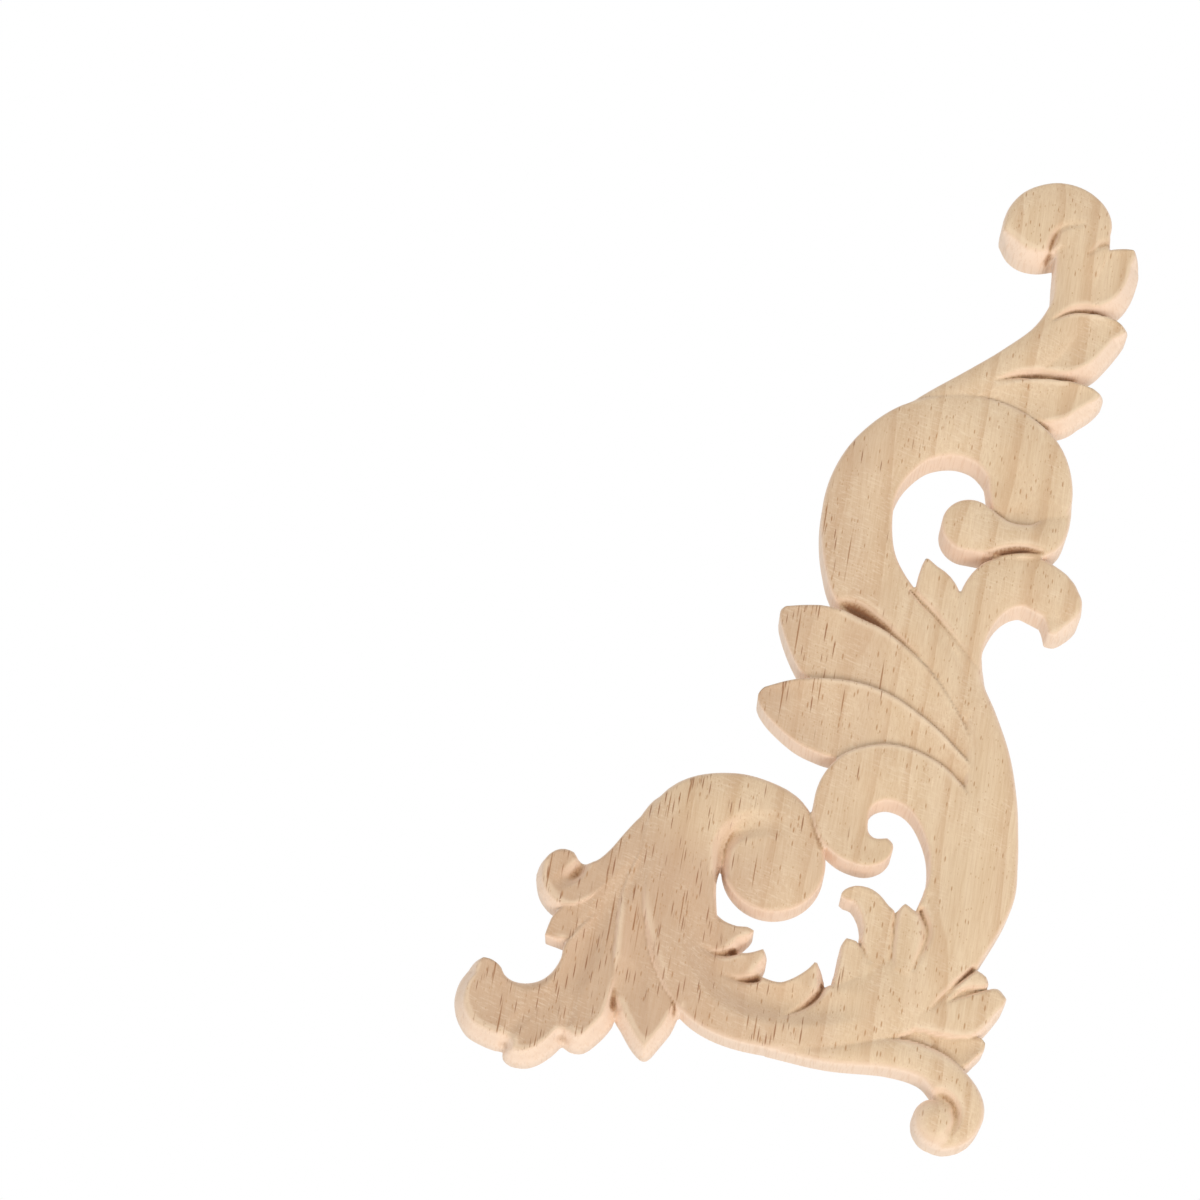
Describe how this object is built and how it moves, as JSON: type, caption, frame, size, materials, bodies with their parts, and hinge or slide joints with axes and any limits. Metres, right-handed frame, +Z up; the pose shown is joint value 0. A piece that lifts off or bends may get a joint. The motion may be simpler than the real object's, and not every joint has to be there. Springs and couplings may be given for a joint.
{
  "type": "carved wood applique",
  "caption": "Carved wood corner applique of leafy scrolls with a curled arm, pierced openings and acanthus leaves, in relief on a flat back that is glued to furniture or trim.",
  "frame": {"origin": "on the flat back, behind the middle of the ornament between the broad leaves and the main stem", "axes": "+X to the right as seen from the front, +Y into the wall (out of the back), +Z up towards the ball at the end of the arm"},
  "size_m": [0.1642, 0.0122, 0.2396],
  "materials": {
    "rubberwood": "unfinished sanded pale rubberwood with short brown pores, darker in the carved crevices"
  },
  "bodies": {
    "root": {"carved_applique": "rubberwood"}
  },
  "joints": []
}
